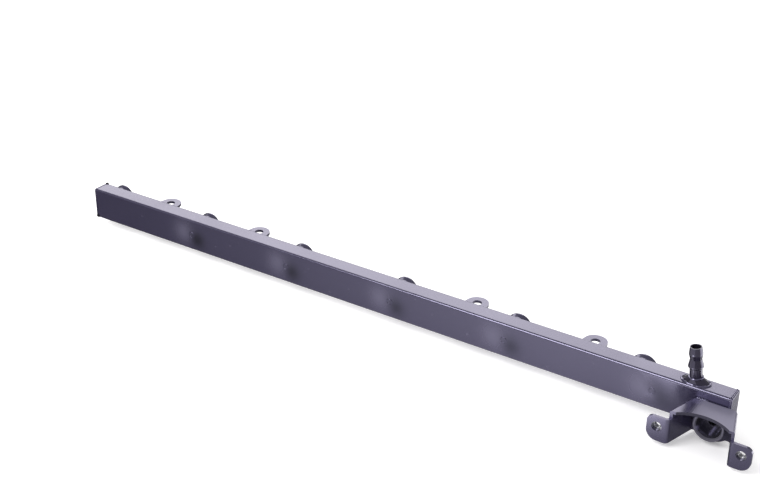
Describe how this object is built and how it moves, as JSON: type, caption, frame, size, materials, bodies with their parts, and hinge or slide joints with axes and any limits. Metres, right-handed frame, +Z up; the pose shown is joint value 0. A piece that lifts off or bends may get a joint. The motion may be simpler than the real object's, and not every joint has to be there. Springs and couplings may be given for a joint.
{
  "type": "fuel rail",
  "caption": "Black painted steel fuel rail: a flat rectangular tube with injector cups and bolt tabs along its back, an upright hose barb, and a folded bracket round a regulator cup.",
  "frame": {"origin": "where the axis of injector cup 1 meets the back face of the rail tube", "axes": "+X along the rail from injector cup 1 towards the hose barb and bracket, +Y out of the injector cups' mouths, +Z up, the way the hose barb points"},
  "size_m": [0.5546, 0.0672, 0.0568],
  "materials": {
    "black_steel": "satin black paint over steel",
    "zinc_steel": "plain zinc-plated steel"
  },
  "bodies": {
    "root": {"rail_tube": "black_steel", "end_cap_left": "black_steel", "end_cap_right": "black_steel", "injector_cup_1": "black_steel", "injector_cup_2": "black_steel", "injector_cup_3": "black_steel", "injector_cup_4": "black_steel", "injector_cup_5": "black_steel", "injector_cup_6": "black_steel", "mounting_tab_1": "black_steel", "mounting_tab_2": "black_steel", "mounting_tab_3": "black_steel", "mounting_tab_4": "black_steel", "hose_barb": "black_steel", "barb_saddle": "black_steel", "regulator_bracket": "black_steel", "regulator_cup": "black_steel", "weld_nut_left": "zinc_steel", "weld_nut_right": "zinc_steel"}
  },
  "joints": []
}
